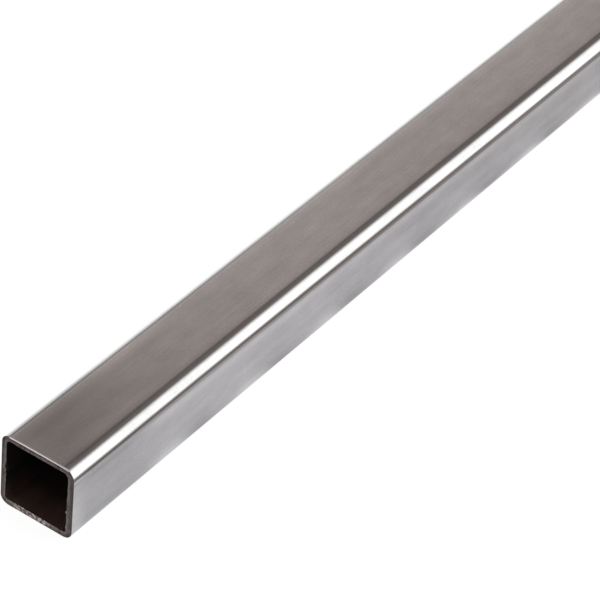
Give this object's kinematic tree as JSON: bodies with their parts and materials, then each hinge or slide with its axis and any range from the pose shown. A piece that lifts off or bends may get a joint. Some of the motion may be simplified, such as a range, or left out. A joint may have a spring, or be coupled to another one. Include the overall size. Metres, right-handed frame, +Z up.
{
  "type": "square steel tube",
  "caption": "Straight length of square steel tube with rounded corners and sawn open ends, used as framing stock that is cut, welded, bolted or joined with push-in connectors.",
  "frame": {"origin": "centre of the bottom face, midway along the tube, on the surface that it lies on", "axes": "+X along the tube, +Y towards the wall that has the weld bead inside, +Z up"},
  "size_m": [1, 0.02, 0.02],
  "materials": {
    "bare_steel": "cold-rolled bare steel, satin, with fine lines along the tube"
  },
  "bodies": {
    "root": {"square_tube": "bare_steel"}
  },
  "joints": []
}
